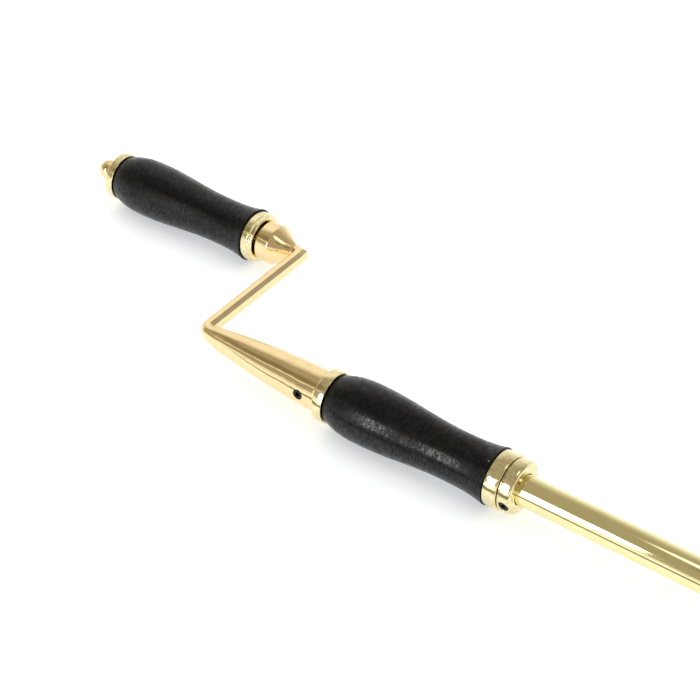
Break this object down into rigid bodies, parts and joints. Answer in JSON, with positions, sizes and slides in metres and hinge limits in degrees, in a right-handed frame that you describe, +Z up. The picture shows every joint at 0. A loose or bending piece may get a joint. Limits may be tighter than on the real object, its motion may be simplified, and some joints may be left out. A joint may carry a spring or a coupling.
{
  "type": "window crank operator",
  "caption": "Detachable cranked winding rod for a high window: brass tube, open hook, cast crank with a side throw, and wooden grips that turn freely.",
  "frame": {"origin": "on the surface the rod lies on, under the middle of its bounding box", "axes": "+X along the rod from the crank to the hook, +Y the way the crank is thrown, +Z up"},
  "size_m": [1, 0.1176, 0.0326],
  "materials": {
    "cast_brass": "polished casting",
    "turned_brass": "turned, unevenly polished",
    "tube_brass": "bright drawn tube",
    "bush_bronze": "machined bronze",
    "ebonised_wood": "ebonised, satin",
    "steel": "turned steel",
    "black_steel": "blackened steel"
  },
  "bodies": {
    "pole": {"crank": "cast_brass", "ball_nut": "cast_brass", "hook": "cast_brass", "hook_lock_nut": "cast_brass", "stop_collar": "turned_brass", "hook_socket": "turned_brass", "upper_end_washer": "turned_brass", "upper_inner_washer": "turned_brass", "lower_crank_washer": "turned_brass", "lower_hook_washer": "turned_brass", "pole_tube": "tube_brass", "grip_spindle": "steel", "crank_end_plug": "steel", "hook_end_plug": "steel", "crank_set_screw": "black_steel", "collar_set_screw": "black_steel", "socket_set_screw": "black_steel"},
    "upper_grip": {"upper_grip": "ebonised_wood", "upper_end_ferrule": "turned_brass", "upper_inner_ferrule": "turned_brass", "upper_end_bush": "bush_bronze", "upper_inner_bush": "bush_bronze"},
    "lower_grip": {"lower_grip": "ebonised_wood", "lower_crank_ferrule": "turned_brass", "lower_hook_ferrule": "turned_brass", "lower_crank_bush": "bush_bronze", "lower_hook_bush": "bush_bronze"}
  },
  "joints": [
    {"name": "upper_grip_spin", "type": "hinge", "parent": "pole", "child": "upper_grip", "pos_m": [-0.43214, 0.0425, 0.0163], "axis": [1, 0, 0], "continuous": true},
    {"name": "lower_grip_spin", "type": "hinge", "parent": "pole", "child": "lower_grip", "pos_m": [-0.21534, -0.0425, 0.0163], "axis": [1, 0, 0], "continuous": true}
  ]
}
